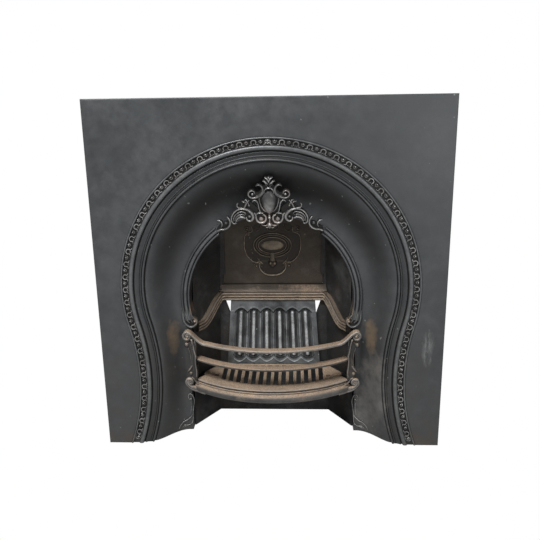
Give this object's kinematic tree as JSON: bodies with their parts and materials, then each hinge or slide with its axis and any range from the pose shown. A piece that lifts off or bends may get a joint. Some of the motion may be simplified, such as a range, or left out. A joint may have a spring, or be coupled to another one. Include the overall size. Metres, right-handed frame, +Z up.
{
  "type": "arched cast iron fireplace insert",
  "caption": "Arched cast iron fireplace insert with horseshoe moulding, coved reveal, hinged register flap, ribbed fireback, loose grate and a lift-off bowed fret that holds the fire",
  "frame": {"origin": "centre of the overall box in plan, on the hearth", "axes": "+X across the front, to the right seen from the room; +Y from the room back into the chimney breast; +Z up"},
  "size_m": [0.945, 0.2638, 0.965],
  "materials": {
    "black_casting": "blackened, dull sheen, fine scratches",
    "crest_casting": "blackened with bright rubbed edges",
    "soot_casting": "sooted, nearly black",
    "worn_casting": "black worn to a rusty brown on the upper sides",
    "flap_casting": "brownish black from heat",
    "fireback_casting": "blue-grey, burnt bright on the ribs",
    "rusted_casting": "light brown rust",
    "dark_steel": "dull black"
  },
  "bodies": {
    "casting": {"front_plate": "black_casting", "arch_crest": "crest_casting", "crest_screws": "dark_steel", "cheek_left": "soot_casting", "cheek_right": "soot_casting", "lintel": "worn_casting", "lintel_screws": "dark_steel", "back_plate": "soot_casting", "flap_frame": "soot_casting", "hood_plate": "soot_casting", "fireback": "fireback_casting", "grate_rest_left": "soot_casting", "grate_rest_right": "soot_casting", "fret_socket_left": "black_casting", "fret_socket_right": "black_casting", "socket_screws": "dark_steel", "arch_bolts": "dark_steel", "arch_nuts": "dark_steel", "back_bolts": "dark_steel", "back_nuts": "dark_steel", "hood_bolts": "dark_steel", "hood_nuts": "dark_steel", "rest_bolts": "dark_steel", "rest_nuts": "dark_steel"},
    "flap": {"damper_flap": "flap_casting", "flap_pin_left": "dark_steel", "flap_pin_right": "dark_steel"},
    "fret": {"fret_frame": "worn_casting", "fret_middle_bar": "worn_casting", "fret_rivets": "dark_steel"},
    "grate": {"bottom_grate": "rusted_casting"}
  },
  "joints": [
    {"name": "flap_hinge", "type": "hinge", "parent": "casting", "child": "flap", "pos_m": [0, 0.12415, 0.438], "axis": [1, 0, 0], "range_deg": [-42, 0]},
    {"name": "fret_lift", "type": "slide", "parent": "casting", "child": "fret", "axis": [0, 0, 1], "range_m": [0, 0.08]},
    {"name": "grate_lift", "type": "slide", "parent": "casting", "child": "grate", "axis": [0, 0, 1], "range_m": [0, 0.12]}
  ]
}
